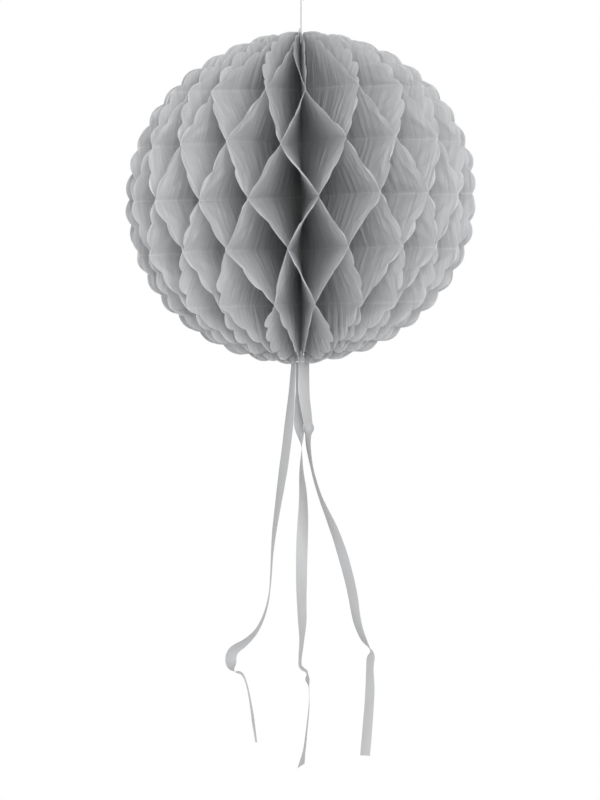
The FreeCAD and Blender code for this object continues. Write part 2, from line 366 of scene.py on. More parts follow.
class Nodes:
    """A short way to write a material's nodes."""

    def __init__(self, name):
        self.material = bpy.data.materials.new(name)
        self.material.use_nodes = True
        self.tree = self.material.node_tree
        self.tree.nodes.clear()
        self.out = self.add("ShaderNodeOutputMaterial")

    def add(self, kind, inputs=None, **values):
        """A node with its own values, and its inputs set or linked."""
        node = self.tree.nodes.new(kind)
        for key, value in values.items():
            setattr(node, key, value)
        for key, value in (inputs or {}).items():
            if isinstance(value, bpy.types.NodeSocket):
                self.tree.links.new(value, node.inputs[key])
            else:
                node.inputs[key].default_value = value
        return node

    def place(self, scale, source="UV"):
        """Coordinates from the piece's UV or its own space, scaled."""
        where = self.add("ShaderNodeTexCoord").outputs[source]
        return self.add("ShaderNodeMapping", {"Vector": where, "Scale": scale}).outputs[0]

    def noise(self, place, scale, detail=2.0, rough=0.5):
        """A noise's value at a place."""
        inputs = {"Vector": place, "Scale": scale, "Detail": detail, "Roughness": rough}
        return self.add("ShaderNodeTexNoise", inputs).outputs[0]

    def span(self, value, low, high):
        """A value from 0 to 1, spread from low to high."""
        inputs = {"Value": value, "To Min": low, "To Max": high}
        return self.add("ShaderNodeMapRange", inputs).outputs[0]

    def point_value(self, name):
        """A value that the piece holds at each point."""
        return self.add("ShaderNodeAttribute", attribute_name=name).outputs["Fac"]

    def mix(self, share, first, second, blend="MIX"):
        """A mix of two colours."""
        node = self.add("ShaderNodeMix", data_type="RGBA", blend_type=blend)
        for socket, value in ((0, share), (6, first), (7, second)):
            if isinstance(value, bpy.types.NodeSocket):
                self.tree.links.new(value, node.inputs[socket])
            else:
                node.inputs[socket].default_value = value
        return node.outputs[2]

    def shaded(self, colour, pattern, dark, light, share=1.0):
        """A colour scaled from dark to light as a pattern goes from 0 to 1."""
        shade = self.mix(self.span(pattern, 0.0, 1.0), grey(dark), grey(light))
        return self.mix(share, colour, shade, "MULTIPLY")

    def bump(self, height, distance, strength=1.0, normal=None):
        """A bump from a height."""
        inputs = {"Height": height, "Distance": distance, "Strength": strength}
        if normal is not None:
            inputs["Normal"] = normal
        return self.add("ShaderNodeBump", inputs).outputs[0]

    def finish(self, shader):
        """Joins the shader to the output, and gives the material."""
        self.tree.links.new(shader, self.out.inputs["Surface"])
        return self.material


def grey(value):
    """A colour that scales another by one value."""
    return (value, value, value, 1.0)


def tissue_material():
    """Crisp tissue: long upright fibres, faint mottling, paler glue lines, and a painted
    highlight along the cut edge.

    Upright streaks and creases of painted shade stand for the shading of its wrinkles;
    the creases' painted shade is stronger away from the cut edge, deep in the cells.
    """
    paper = settings("paper")
    make = Nodes("tissue_paper")
    fibres = make.noise(make.place((900.0, 70.0, 1.0)), 1.0, 3.0, 0.6)
    creases = make.noise(make.place((240.0, 9.0, 1.0)), 1.0, 2.0, 0.5)
    threads = make.noise(make.place((420.0, 18.0, 1.0)), 1.0, 2.0, 0.5)
    cloud = make.noise(make.place((30.0, 30.0, 1.0)), 1.0, 3.0, 0.55)
    # Paler near the cut edge: a painted highlight of the lit rim.
    colour = make.mix(make.point_value("edge"), (*paper.colour, 1.0), (*paper.edge_colour_and_highlight, 1.0))
    colour = make.shaded(colour, cloud, 0.93, 1.07)
    colour = make.shaded(colour, fibres, 0.94, 1.06)
    # Painted shade: upright streaks darken and lighten the colour where the wrinkles' shading would fall.
    colour = make.shaded(colour, threads, 0.90, 1.09)
    # Painted shade of the creases, stronger where the deep tone is high, deep in the cells.
    colour = make.shaded(colour, creases, 0.72, 1.28, make.point_value("deep"))
    colour = make.mix(make.span(make.point_value("glue"), 0.0, 0.6), colour, (*paper.glue_colour, 1.0))
    normal = make.bump(creases, 0.0009, 0.8)
    normal = make.bump(threads, 0.0007, 0.8, normal)
    normal = make.bump(fibres, 0.00016, 0.7, normal)
    face = make.add(
        "ShaderNodeBsdfPrincipled",
        {
            "Base Color": colour,
            "Roughness": 0.82,
            "Specular IOR Level": 0.25,
            "Sheen Weight": 0.12,
            "Sheen Roughness": 0.6,
            "Normal": normal,
        },
    )
    through = make.add("ShaderNodeBsdfTranslucent", {"Color": colour, "Normal": normal})
    both = make.add("ShaderNodeMixShader", {"Fac": 0.55})
    make.tree.links.new(face.outputs[0], both.inputs[1])
    make.tree.links.new(through.outputs[0], both.inputs[2])
    return make.finish(both.outputs[0])


def ribbon_material():
    """Woven satin ribbon: fine threads along it, finer ones across, firm edges."""
    ribbon = settings("ribbon")
    make = Nodes("satin_ribbon")
    warp = make.noise(make.place((5200.0, 120.0, 1.0)), 1.0, 1.0)
    weft = make.noise(make.place((300.0, 4200.0, 1.0)), 1.0, 1.0)
    tint = make.noise(make.place((60.0, 22.0, 1.0)), 1.0, 2.0)
    colour = make.mix(make.point_value("edge"), (*ribbon.colour, 1.0), (*ribbon.edge_colour_and_highlight, 1.0))
    colour = make.shaded(colour, tint, 0.94, 1.06)
    normal = make.bump(warp, 0.00005, 0.6)
    normal = make.bump(weft, 0.00006, 0.5, normal)
    face = make.add(
        "ShaderNodeBsdfPrincipled",
        {
            "Base Color": colour,
            "Roughness": 0.48,
            "Specular IOR Level": 0.35,
            "Sheen Weight": 0.2,
            "Sheen Roughness": 0.4,
            "Normal": normal,
        },
    )
    return make.finish(face.outputs[0])


def fibre_material(name, colour):
    """Spun fibre: fine hairs and small changes of tone along the strands."""
    make = Nodes(name)
    hair = make.noise(make.place((9000.0, 9000.0, 2600.0), "Object"), 1.0, 3.0)
    tone = make.noise(make.place((420.0, 420.0, 420.0), "Object"), 1.0, 2.0)
    face = make.add(
        "ShaderNodeBsdfPrincipled",
        {
            "Base Color": make.shaded((*colour, 1.0), tone, 0.86, 1.12),
            "Roughness": 0.75,
            "Sheen Weight": 0.35,
            "Sheen Roughness": 0.5,
            "Normal": make.bump(hair, 0.00008, 0.8),
        },
    )
    return make.finish(face.outputs[0])


def tape_material():
    """Double-sided tape: a pale, slightly shiny film with a fine grain."""
    make = Nodes("seam_tape")
    grain = make.noise(make.place((2500.0, 2500.0, 2500.0), "Object"), 1.0, 2.0)
    colour = make.shaded((*settings("string").tape_colour, 1.0), grain, 0.92, 1.05)
    face = make.add(
        "ShaderNodeBsdfPrincipled",
        {"Base Color": colour, "Roughness": 0.5, "Normal": make.bump(grain, 0.00003, 0.5)},
    )
    return make.finish(face.outputs[0])


# ------------------------------------------------------------ tissue sheets


def scallop_outline(up, rises, slip=0.0):
    """A sheet's cut edge at angles up from the equator, as distance out and height.

    Notches lie on an ellipse, and slip along it a little from sheet to sheet. Between
    two of them the edge is the straight chord, moved out by four times its rise, times
    the share along it and the share left.
    """
    paper = settings("paper")
    step = math.pi / paper.scallops
    place = (up + slip * np.cos(up) + math.pi / 2) / step
    lobe = np.clip(np.floor(place), 0, paper.scallops - 1).astype(int)
    share = place - lobe
    low, high = lobe * step - math.pi / 2, (lobe + 1) * step - math.pi / 2
    low, high = low - slip * np.cos(low), high - slip * np.cos(high)
    start = np.stack(
        [paper.notch_radius * np.cos(low), paper.notch_half_height * np.sin(low)], axis=-1
    )
    end = np.stack(
        [paper.notch_radius * np.cos(high), paper.notch_half_height * np.sin(high)], axis=-1
    )
    chord = end - start
    out = np.stack([chord[:, 1], -chord[:, 0]], axis=-1)
    out = out / np.linalg.norm(out, axis=1, keepdims=True)
    bulge = rises[lobe] * 4 * share * (1 - share)
    return start + chord * share[:, None] + out * bulge[:, None], lobe, share


def row_angles(rises, slip, recess, side):
    """Angles from the equator towards one pole, with rows on notches and levels."""
    paper = settings("paper")
    fine = np.linspace(0, math.pi / 2, 4000)
    edge = scallop_outline(fine * side, rises, slip)[0]
    last = fine[np.flatnonzero(edge[:, 0] > recess)[-1]]
    notches = np.arange(paper.scallops // 2) * math.pi / paper.scallops
    marks = [np.abs(notches - side * slip * np.cos(notches))]
    for level in range(3):
        for height in (-paper.glue_width / 2, 0.0, paper.glue_width / 2):
            found = np.interp(level * paper.glue_pitch + height, edge[:, 1] * side, fine)
            marks.append([abs(found)])
    marks = np.unique(np.round(np.concatenate(marks), 5))
    marks = np.append(marks[marks < last], last)
    rows = [np.array([0.0])]
    for low, high in zip(marks, marks[1:]):
        count = max(1, round((high - low) / ROW_STEP))
        rows.append(np.linspace(low, high, count + 1)[1:])
    return np.concatenate(rows) * side


def inner_edge(edge, recess, side):
    """The point on the sheet's inner side that each row starts from.

    It is level with the cut edge up to the second glue level. Above that it climbs
    the inner edge and goes out over the recess's floor, in step with the cut edge.
    """
    paper = settings("paper")
    height = edge[:, 1] * side
    level = 2 * paper.glue_pitch
    past = along_line(np.column_stack([edge, np.zeros(len(edge))]))
    top = np.interp(level, height, past)
    share = np.clip((past - top) / (past[-1] - top), 0, 1)
    climb = paper.recess_floor - level
    floor = recess - paper.inner_radius
    gone = share * (climb + floor)
    rise = np.where(height <= level, height, level + np.minimum(gone, climb))
    out = paper.inner_radius + np.clip(gone - climb, 0, floor)
    return np.column_stack([out, side * rise])


def waves(rng, across, up, lengths_across, lengths_up, count=5):
    """A sum of sine waves with lengths in the two ranges, between about -1 and 1."""
    total = np.zeros(np.broadcast(across, up).shape)
    for _ in range(count):
        one = rng.uniform(*lengths_across) * rng.choice([-1, 1])
        two = rng.uniform(*lengths_up)
        total += np.sin(2 * math.pi * (across / one + up / two) + rng.uniform(0, 2 * math.pi))
    return total / math.sqrt(count * 2)


def sheet_span(node):
    """A sheet's lower and upper joint lines, as angles from the front, from its CAD node."""
    points = from_ball(node)
    far = points[np.hypot(points[:, 0], points[:, 1]) > OUTER_PART]
    angle = np.arctan2(far[:, 0], -far[:, 1])
    centre = np.arctan2(np.sin(angle).mean(), np.cos(angle).mean())
    off = (angle - centre + math.pi) % (2 * math.pi) - math.pi
    return centre + off.min(), centre + off.max()


def sheet_grid(rng):
    """A sheet's flat grid: distance out and height, and where its rows and columns are."""
    paper = settings("paper")
    rises = paper.scallop_rise * rng.uniform(0.80, 1.08, paper.scallops)
    slip = float(np.clip(rng.normal(0.0, 0.012), -0.022, 0.022))
    halves = []
    for side, recess in ((-1, paper.bottom_recess_radius), (1, paper.top_recess_radius)):
        up = row_angles(rises, slip, recess, side)
        edge, lobe, share = scallop_outline(up, rises, slip)
        inner = inner_edge(edge, recess, side)
        half = np.column_stack([edge, inner, lobe, share])
        halves.append(half[::-1] if side < 0 else half[1:])
    rows = np.concatenate(halves)
    edge, inner, lobe, share = rows[:, :2], rows[:, 2:4], rows[:, 4].astype(int), rows[:, 5]
    shares = [np.linspace(start, end, count + 1)[:-1] for start, end, count in COLUMN_STRETCHES]
    shares = np.concatenate([*shares, EDGE_COLUMNS])
    flat = inner[:, None] + (edge - inner)[:, None] * shares[None, :, None]
    reach = np.linalg.norm(edge - inner, axis=1)[:, None] * (1 - shares)[None, :]
    return flat, reach, lobe, share, edge


# How far single joints sit off their even places, by joint line and glue level: degrees
# round the axis, and millimetres up at the notches.
JOINT_SHIFTS = {
    (-3, 2): (-3.6, -4.5),
    (-1, 2): (1.2, -2.7),
    (1, 2): (-3.6, -3.7),
    (3, 2): (-2.0, 1.8),
    (-4, 1): (0.3, -3.3),
    (-2, 1): (0.2, -1.3),
    (0, 1): (-1.6, -4.3),
    (2, 1): (-0.7, 1.7),
    (4, 1): (-2.6, 3.2),
    (6, 1): (-0.4, 2.5),
    (-5, 0): (0.0, -4.9),
    (-3, 0): (1.7, -5.4),
    (-1, 0): (-1.3, -5.0),
    (1, 0): (0.3, -2.3),
    (3, 0): (-0.2, 1.4),
    (5, 0): (-0.5, 1.4),
    (7, 0): (-1.2, 1.4),
    (-4, -1): (1.7, -2.5),
    (-2, -1): (0.2, -2.0),
    (0, -1): (0.8, -0.3),
    (2, -1): (0.2, 1.0),
    (4, -1): (0.5, 2.5),
    (6, -1): (-2.1, 2.0),
    (8, -1): (-1.2, 1.5),
    (-1, -2): (4.9, -2.4),
    (1, -2): (0.4, -1.1),
    (3, -2): (0.0, 1.0),
    (5, -2): (-2.6, 1.0),
}
# By sheet and level, degrees by which a sheet's corner near a pole is pushed round.
CORNER_SHIFTS = {
    (0, 3): -1.7,
    (1, 3): -14.0,
    (-1, -3): 1.9,
    (0, -3): 8.5,
    (1, -3): 12.0,
    (2, -3): 12.6,
}
LEVELS = np.arange(-4, 5)
# How far any other joint strays, one standard deviation: degrees round, millimetres up.
JOINT_STRAY = 0.7
# How far from a joint its pleats are deepest.
PLEAT_REACH = 0.019
# How far in from the cut edge the painted highlight reaches, and how far off a glue line the paper is pale.
HIGHLIGHT_AND_GLUE_WIDTH = 0.0007
# How far in from the cut edge a scallop's own curl and the whole edge's roll reach.
CURL_REACH, ROLL_REACH = 0.007, 0.012
# Half of the gap between two glued sheets.
HALF_GLUE = 0.00004
# Further out than this a sheet's CAD points span its two joint lines.
OUTER_PART = 0.09
# About the angle at the centre between two rows of a sheet's grid.
ROW_STEP = math.radians(0.95)
# Stretches of the way out, from the inner edge to the cut edge, with their columns.
COLUMN_STRETCHES = ((0.0, 0.12, 2), (0.12, 0.45, 15), (0.45, 0.965, 28))
EDGE_COLUMNS = 1 - np.array([0.035, 0.026, 0.018, 0.011, 0.006, 0.003, 0.0])
# Thickness of a seam tape.
TAPE_THICKNESS = 0.00008


def joint_place(line, level, azimuth):
    """A joint's angle, and its height above its level at the notches.

    A joint with no shift of its own gets a small random one, and the ball's right side
    sits a little higher than its left.
    """
    rng = np.random.default_rng(5000 + 20 * (line % len(SHEET_NAMES)) + level)
    turn, lift = rng.normal(0.0, JOINT_STRAY), rng.normal(0.0, JOINT_STRAY)
    lift += -1.2 + 3.4 * math.sin(azimuth)
    turn, lift = JOINT_SHIFTS.get((line, level), (turn, lift))
    return azimuth + math.radians(turn), lift / 1000


def sheet_levels(number, low, high):
    """A sheet's angle and lift at each glue level, which its neighbours share."""
    sheet = number - len(SHEET_NAMES) // 2 - 1
    places = []
    for level in LEVELS:
        near = (level % 2 == 1) == (sheet % 2 == 0)
        turn, lift = joint_place(sheet if near else sheet + 1, level, low if near else high)
        turn += math.radians(CORNER_SHIFTS.get((sheet, level), 0.0))
        places.append((turn, lift, 1.0 if near else -1.0))
    return np.array(places).T


def fanned_pleats(above, inwards, nearest, rng):
    """Pleats that fan out from the joint nearest to each point.

    A point's angle about its joint is the angle of its way inwards and its way above it.
    The pleats are a folded wave nine times that angle with a softer one seventeen times
    it. They are deepest at the pleats' reach, and fade away at the joint's own level.
    """
    off_level = np.abs(above)
    far = np.hypot(off_level, inwards) / PLEAT_REACH
    fan = np.arctan2(inwards, off_level)
    phases = rng.uniform(0, 2 * math.pi, (len(LEVELS), 2))
    phase = phases[(nearest - LEVELS[0]).astype(int), (above > 0).astype(int)]
    strength = far * np.exp(1 - far) * off_level / (off_level + 0.004)
    pleats = np.arcsin(0.94 * np.sin(9 * fan + phase)) + 0.5 * np.sin(17 * fan + 2.3 * phase)
    return pleats * strength * 0.55


def sheet_surface(number, low, high, rng):
    """A sheet's middle surface between its two joint lines, with its tones.

    At each height the sheet's angle goes in a straight zigzag from one joint line to
    the other and back, a whole glue pitch each way. Out of that surface it moves by
    pleats that fan from each joint at the cut edge, upright wrinkles that deepen
    towards the core, slow sway and the curl of each scallop. All of them fade to
    nothing at the glue lines.
    """
    paper = settings("paper")
    flat, reach, lobe, share, edge = sheet_grid(rng)
    out, height = flat[..., 0], flat[..., 1]
    level = height / paper.glue_pitch
    size = out / paper.notch_radius
    turns, lifts, sides = sheet_levels(number, low, high)
    glued = paper.glue_width / 2 / paper.glue_pitch
    below = np.clip(np.floor(level), LEVELS[0], LEVELS[-1] - 1)
    past = np.clip((level - below - glued) / (1 - 2 * glued), 0, 1)
    bow = rng.normal(0.0, 0.018)
    past = past + bow * np.sin(2 * math.pi * past)
    zigzag = below + past
    angle = np.interp(zigzag, LEVELS, turns)
    lift = np.interp(zigzag, LEVELS, lifts) * size
    beside = np.interp(zigzag, LEVELS, sides)
    free = np.sin(math.pi * (level % 1.0))

    nearest = np.clip(np.round(level), LEVELS[0], LEVELS[-1])
    joint_height = nearest * paper.glue_pitch
    above = height - joint_height
    inwards = np.interp(joint_height, edge[:, 1], edge[:, 0]) - out
    pleats = fanned_pleats(above, inwards, nearest, rng)

    fine = waves(rng, out, height, (0.008, 0.014), (0.08, 0.3), 6)
    broad = waves(rng, out, height, (0.012, 0.026), (0.08, 0.25), 4)
    slow = waves(rng, out, height, (0.07, 0.2), (0.05, 0.15), 4)
    curl = rng.normal(0.0, 1.0, paper.scallops)[lobe] * np.sin(math.pi * share)
    curl = curl[:, None] * np.exp(-reach / CURL_REACH) * np.minimum(1.0, 1.5 * free)
    roll = rng.normal(0.0, 0.5) * np.exp(-reach / ROLL_REACH) * free
    crinkled = (0.3 + 0.7 * np.clip(reach / 0.05, 0, 1)) * np.clip(out / 0.035, 0, 1)
    away = (
        paper.pleat_depth * pleats * size
        + paper.wrinkle_depth * (fine + broad) * free * crinkled
        + paper.sway * slow * free * size**2
        + paper.edge_curl * (curl + roll)
    )
    away += beside * (paper.thickness * 0.5 + HALF_GLUE)
    radial = np.stack([np.sin(angle), -np.cos(angle), np.zeros_like(angle)], axis=-1)
    around = np.stack([np.cos(angle), np.sin(angle), np.zeros_like(angle)], axis=-1)
    surface = BALL + radial * out[..., None] + around * away[..., None]
    surface[..., 2] += height + lift
    tones = {
        # The edge tone is where the painted highlight of the lit rim goes.
        "edge": np.exp(-reach / HIGHLIGHT_AND_GLUE_WIDTH),
        "glue": np.exp(-((above / HIGHLIGHT_AND_GLUE_WIDTH) ** 2)),
        # The deep tone is how strongly the creases' painted shade shows, deep in the cells.
        "deep": np.clip((reach - 0.01) / 0.05, 0, 1),
    }
    uv = np.stack([out + number * 0.37, height + number * 0.11], axis=-1)
    return surface, uv, tones


def facing(surface):
    """Unit normals of a grid of points, on the side from which its columns run right."""
    right, up = np.gradient(surface, axis=1), np.gradient(surface, axis=0)
    normal = np.cross(right, up)
    return normal / np.maximum(np.linalg.norm(normal, axis=-1, keepdims=True), 1e-12)


def fold_flat(piece, centre):
    """Gives a piece its own copy of its mesh.
    """
    first, last = np.mean(sheet_span(SHEET_NAMES[0])), np.mean(sheet_span(SHEET_NAMES[-1]))
    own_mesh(piece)


class HONEYCOMB_OT_sheets(bpy.types.Operator):
    """Make the scalloped tissue sheets, each between its two joint lines"""

    bl_idname = "honeycomb.sheets"
    bl_label = "Tissue sheets"

    def execute(self, context):
        paper = settings("paper")
        material = tissue_material()
        for number, node in enumerate(SHEET_NAMES, start=1):
            low, high = sheet_span(node)
            rng = np.random.default_rng(100 + number)
            surface, uv, tones = sheet_surface(number, low, high, rng)
            half = facing(surface) * paper.thickness / 2
            piece = thin_solid(f"tissue_{node[-2:]}", surface + half, surface - half, uv, tones)
            fit(piece, node, material)
            fold_flat(piece, (low + high) / 2)
        return {"FINISHED"}


class HONEYCOMB_OT_tapes(bpy.types.Operator):
    """Make the tape strips that hold the last sheet to the first"""

    bl_idname = "honeycomb.tapes"
    bl_label = "Seam tapes"

    def execute(self, context):
        material = tape_material()
        points = from_ball("seam_tapes")
        out = np.hypot(points[:, 0], points[:, 1])
        angle = np.arctan2(points[:, 0].mean(), -points[:, 1].mean())
        pitch = settings("paper").glue_pitch
        level = np.round(points[:, 2] / pitch).astype(int)
        across = np.linspace(-1, 1, 5)
        radial = np.array([math.sin(angle), -math.cos(angle), 0.0])
        around = np.array([math.cos(angle), math.sin(angle), 0.0])
        for number, each in enumerate(np.unique(level), start=1):
            own = level == each
            start, end = out[own].min(), out[own].max()
            half = (points[own, 2].max() - points[own, 2].min()) / 2
            along = np.linspace(start, end, 40)
            length, height = np.meshgrid(along, each * pitch + across * half)
            ripple = 0.00003 * np.sin(length * 700 + each)
            surface = BALL + radial * length[..., None] + around * ripple[..., None]
            surface[..., 2] += height
            thick = facing(surface) * TAPE_THICKNESS / 2
            uv = surface[..., [0, 2]]
            piece = thin_solid(f"seam_tape_{number}", surface + thick, surface - thick, uv, {})
            fit(piece, "seam_tapes", material)
            fold_flat(piece, np.mean(sheet_span(SHEET_NAMES[-1])))
        return {"FINISHED"}


# ------------------------------------------------------------ string and knots


def knot_line(centre, radius, thick, turn):
    """The closed line of a pulled-tight overhand knot, squeezed into a ball.

    The angle goes round twice while the distance out and the height each wave three
    times, which is a trefoil.
    """
    angle = np.linspace(0, 2 * math.pi, 160, endpoint=False)
    reach = radius - thick / 2
    out = 0.62 + 0.34 * np.cos(3 * angle)
    line = np.stack(
        [out * np.cos(2 * angle), 0.66 * np.sin(3 * angle), out * np.sin(2 * angle)], axis=1
    )
    line = line / np.abs(np.linalg.norm(line, axis=1)).max() * reach
    cos, sin = math.cos(turn), math.sin(turn)
    lean = np.array([[cos, -sin, 0], [sin, cos, 0], [0, 0, 1]])
    return centre + line @ lean.T


# How often the thread goes round at a pole.
BINDING_TURNS = 3
# The cut ends that stick out of a knot, each from its middle: millimetres.
KNOT_TAILS = {
    "loop_knot": [[(0.0, 0.0, 0.0), (1.8, -0.8, -1.0), (2.6, -1.2, -4.0), (2.3, -1.0, -7.0)]],
    "top_knot": [[(0.0, 0.0, 0.0), (-2.2, -1.2, 1.5), (-2.8, -1.4, 6.0), (-0.9, -0.9, 12.0)]],
}


def make_knot(node, thick, turn):
    """A knot's piece in place of its CAD ball, with its cut ends."""
    low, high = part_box(node)
    line = knot_line(middle(node), (high - low)[0] / 2, thick, turn)
    tubes = string_tubes(np.concatenate([line, line[:1]]), thick)
    for tail in KNOT_TAILS[node]:
        tubes += string_tubes(spline_points(middle(node) + np.array(tail) / 1000), thick)
    return join_tubes(f"{node}_tied", tubes)


def whipping(node, thick):
    """String wound round a bar that lies crosswise, close-turned and round-ended.

    Along the bar the winding goes round once in each thickness of the string, at the
    bar's own radius, which falls to nothing in a quarter circle at each end.
    """
    low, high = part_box(node)
    half, radius = (high - low)[0] / 2 - thick / 2, (high - low)[2] / 2 - thick / 2
    along = np.linspace(-1, 1, 700) * half * 0.985
    turn = along / (thick * 1.02) * 2 * math.pi
    into_end = np.clip((np.abs(along) - (half - radius)) / radius, 0, 1)
    reach = radius * np.sqrt(1 - into_end**2)
    line = middle(node) + np.stack([along, reach * np.cos(turn), reach * np.sin(turn)], axis=1)
    return join_tubes(f"{node}_whipping", string_tubes(line, thick))


class HONEYCOMB_OT_string(bpy.types.Operator):
    """Make the hanging loop, the string and the string through the ball's core"""

    bl_idname = "honeycomb.string"
    bl_label = "String"

    def execute(self, context):
        thick = settings("string").thickness
        material = fibre_material("cotton_string", settings("string").colour)
        low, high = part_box("hanging_loop")
        wide = (high - low)[0] / 2 - thick / 2
        knot = middle("loop_knot")
        top = high[2] - thick / 2
        drop = top - knot[2]
        # The loop's right half from the knot up, as shares of its half width and height.
        right = [
            (0.10, 0.09),
            (0.42, 0.27),
            (0.78, 0.46),
            (1.04, 0.66),
            (1.06, 0.86),
            (0.66, 1.01),
        ]
        route = [(knot[0] + side * wide, 0.0, knot[2] + up * drop) for side, up in right]
        route += [(-x, y, z) for x, y, z in reversed(route)]
        line = spline_points(route)
        loop = join_tubes("loop_of_string", string_tubes(line, thick))

        low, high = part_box("hanging_string")
        base = np.array([0.0, 0.0, low[2]])
        tip = np.array([0.0, 0.0, high[2]])
        line = spline_points([base, base * 0.5 + tip * 0.5, tip])
        run = join_tubes("string_to_ball", string_tubes(line, thick))

        low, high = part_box("core_string")
        line = np.array([[0.0, 0.0, low[2]], [0.0, 0.0, high[2]]])
        core = join_tubes("string_in_core", string_tubes(line, thick))
        nodes = ("hanging_loop", "hanging_string", "core_string")
        for piece, node in zip((loop, run, core), nodes):
            fit(piece, node, material)
        return {"FINISHED"}


class HONEYCOMB_OT_knots(bpy.types.Operator):
    """Make the knots and the binding thread at the poles"""

    bl_idname = "honeycomb.knots"
    bl_label = "Knots and binding"

    def execute(self, context):
        string = settings("string")
        cotton = fibre_material("cotton_knot", string.colour)
        thread = fibre_material("binding_thread", string.thread_colour)
        for turn, node in enumerate(("loop_knot", "top_knot")):
            fit(make_knot(node, string.thickness, turn * 1.1), node, cotton)
        fit(whipping("ribbon_knot", string.thickness), "ribbon_knot", cotton)
        for node in ("top_binding", "bottom_binding"):
            low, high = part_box(node)
            thick = (high - low)[2]
            radius = (high - low)[0] / 2 - thick / 2
            angle = np.linspace(0, 2 * math.pi * BINDING_TURNS, 200)
            rise = np.linspace(-0.5, 0.5, 200) * thick * 0.5
            out = radius + 0.00012 * np.sin(angle * 2.4)
            ring = np.stack([out * np.cos(angle), out * np.sin(angle), rise], axis=1)
            line = middle(node) + ring
            piece = join_tubes(f"{node}_thread", string_tubes(line, thick * 0.45, strands=2))
            fit(piece, node, thread)
        return {"FINISHED"}


# ------------------------------------------------------------ ribbons

# Each point is x, y and z from the ball's centre in millimetres, and the ribbon's turn
# about its own length in degrees: at 0 its face is to the front, at 90 its edge is.
RIBBON_ROUTES = {
    "ribbon_left": [
        (-6.5, 0.0, -140.2, -72),
        (-7.7, 1.5, -166.0, -58),
        (-10.3, 4.0, -194.7, -41),
        (-14.6, 2.5, -228.8, -42),
        (-20.2, -1.0, -266.3, -59),
        (-24.4, -3.0, -296.1, -75),
        (-26.1, -2.0, -333.6, -85),
        (-29.6, 1.0, -352.0, -80),
        (-36.6, 3.0, -368.6, -71),
        (-47.0, 3.0, -379.2, -58),
        (-58.0, 1.0, -385.6, -34),
        (-60.2, 0.0, -393.0, -8),
        (-58.9, -1.0, -399.6, -38),
        (-56.0, -2.0, -403.8, -104),
        (-50.0, -3.0, -405.2, -100),
        (-46.6, -2.5, -413.0, -96),
        (-43.6, -2.0, -427.0, -99),
        (-41.0, -1.0, -444.0, -103),
        (-38.0, 1.0, -465.0, -96),
    ],
    "ribbon_middle": [
        (-3.4, 0.5, -140.2, 74),
        (-3.7, 2.0, -166.0, 77),
        (-2.8, 3.0, -180.0, 57),
        (-1.85, 4.0, -193.8, 26),
        (0.8, 2.5, -212.0, 88),
        (0.0, 0.0, -233.0, 111),
        (2.3, -2.0, -257.0, 136),
        (0.7, -3.0, -295.2, 178),
        (0.2, -1.0, -336.0, 208),
        (1.2, 2.0, -360.0, 221),
        (0.8, 3.5, -377.0, 244),
        (-1.2, 4.0, -395.0, 257),
        (-0.6, 3.0, -400.6, 252),
        (5.8, 1.5, -404.6, 256),
        (5.0, 0.5, -409.0, 298),
        (7.2, 0.0, -417.5, 268),
        (7.1, 0.0, -433.0, 274),
        (4.8, 1.0, -456.0, 277),
        (2.9, 2.0, -472.0, 281),
        (-0.2, 3.0, -487.5, 306),
    ],
    "ribbon_right": [
        (2.6, -0.5, -140.2, 28),
        (2.2, -2.5, -166.0, 22),
        (4.2, -3.5, -180.0, 31),
        (6.4, -4.5, -194.0, 44),
        (6.1, -4.2, -200.0, -56),
        (6.0, -3.4, -212.0, -67),
        (9.6, -1.5, -233.0, -77),
        (16.0, 1.0, -255.0, -73),
        (28.0, 3.0, -281.6, -46),
        (37.0, 3.0, -308.6, -30),
        (44.2, 0.0, -337.6, -35),
        (47.2, -2.0, -360.0, -46),
        (53.2, -3.0, -377.0, -61),
        (60.4, -3.0, -385.4, -96),
        (59.4, -2.5, -391.5, -138),
        (58.4, -2.0, -401.0, -129),
        (58.9, -1.0, -419.0, -143),
        (57.2, 1.0, -445.0, -148),
        (54.6, 0.0, -475.4, -150),
    ],
}
# How much longer each ribbon's end is at its left edge than at its right one.
END_SLANTS = {"ribbon_left": 0.002, "ribbon_middle": 0.006, "ribbon_right": -0.002}
RIBBON_ARCH = 0.0006
RIBBON_RIPPLE = 0.00012
# Where a ribbon's firm edge starts, as a share of its half width.
FIRM_EDGE = 0.93


